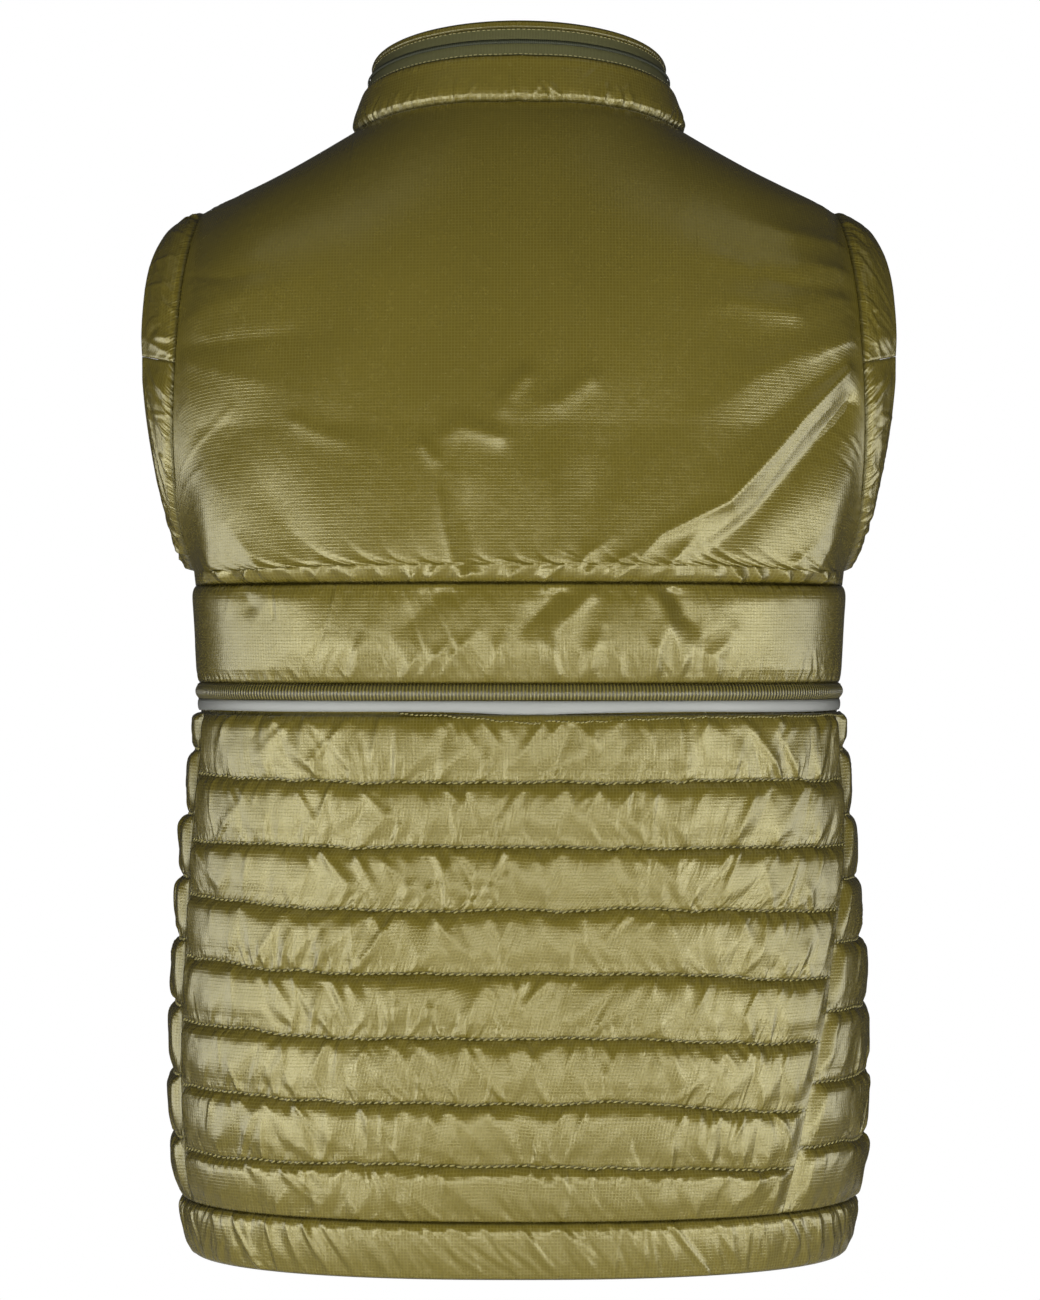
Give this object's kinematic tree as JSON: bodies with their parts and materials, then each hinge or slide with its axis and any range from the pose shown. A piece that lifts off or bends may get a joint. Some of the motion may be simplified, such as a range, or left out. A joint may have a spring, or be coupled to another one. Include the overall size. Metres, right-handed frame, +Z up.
{
  "type": "padded puffer vest",
  "caption": "Sleeveless padded vest with stand collar, plain yoke, reflective back strip, quilted lower body and gathered hem band.",
  "frame": {"origin": "in the middle of the neck at the height where the wearer's shoulders hold the vest", "axes": "+Z up, the front with its zip faces -Y, the back faces +Y, +X towards the wearer's left"},
  "size_m": [0.4504, 0.2829, 0.7382],
  "materials": {
    "shell": "glossy olive ripstop nylon, lightly padded",
    "reflective_tape": "silver-grey retroreflective tape",
    "zip_tape": "matte olive woven zip tape",
    "zip_teeth": "dark olive nylon coil",
    "zip_metal": "dark lacquered zinc, satin"
  },
  "bodies": {
    "root": {"armhole_band_lower_left": "shell", "armhole_band_lower_right": "shell", "armhole_band_upper_left": "shell", "armhole_band_upper_right": "shell", "back_band": "shell", "back_lower": "shell", "back_welt": "shell", "back_yoke": "shell", "collar_band": "shell", "collar_top_strip": "shell", "collar_zip_coil": "zip_teeth", "collar_zip_slider": "zip_metal", "collar_zip_tapes": "zip_tape", "front_lower_left": "shell", "front_lower_right": "shell", "front_upper_left": "shell", "front_upper_right": "shell", "front_zip_box": "zip_metal", "front_zip_chain": "zip_teeth", "front_zip_slider": "zip_metal", "front_zip_tape": "zip_tape", "hem_band": "shell", "reflective_strip": "reflective_tape"},
    "front_zip_pull": {"front_zip_pull": "zip_metal"},
    "collar_zip_pull": {"collar_zip_pull": "zip_metal"}
  },
  "joints": [
    {"name": "front_zip_pull_swing", "type": "hinge", "parent": "root", "child": "front_zip_pull", "pos_m": [0, -0.09127, -0.03022], "axis": [-1, 0, 0], "range_deg": [0, 160]},
    {"name": "collar_zip_pull_swing", "type": "hinge", "parent": "root", "child": "collar_zip_pull", "pos_m": [0.04727, -0.08125, -0.02032], "axis": [-0.3686, -0.1293, 0.9206], "range_deg": [0, 160]}
  ]
}
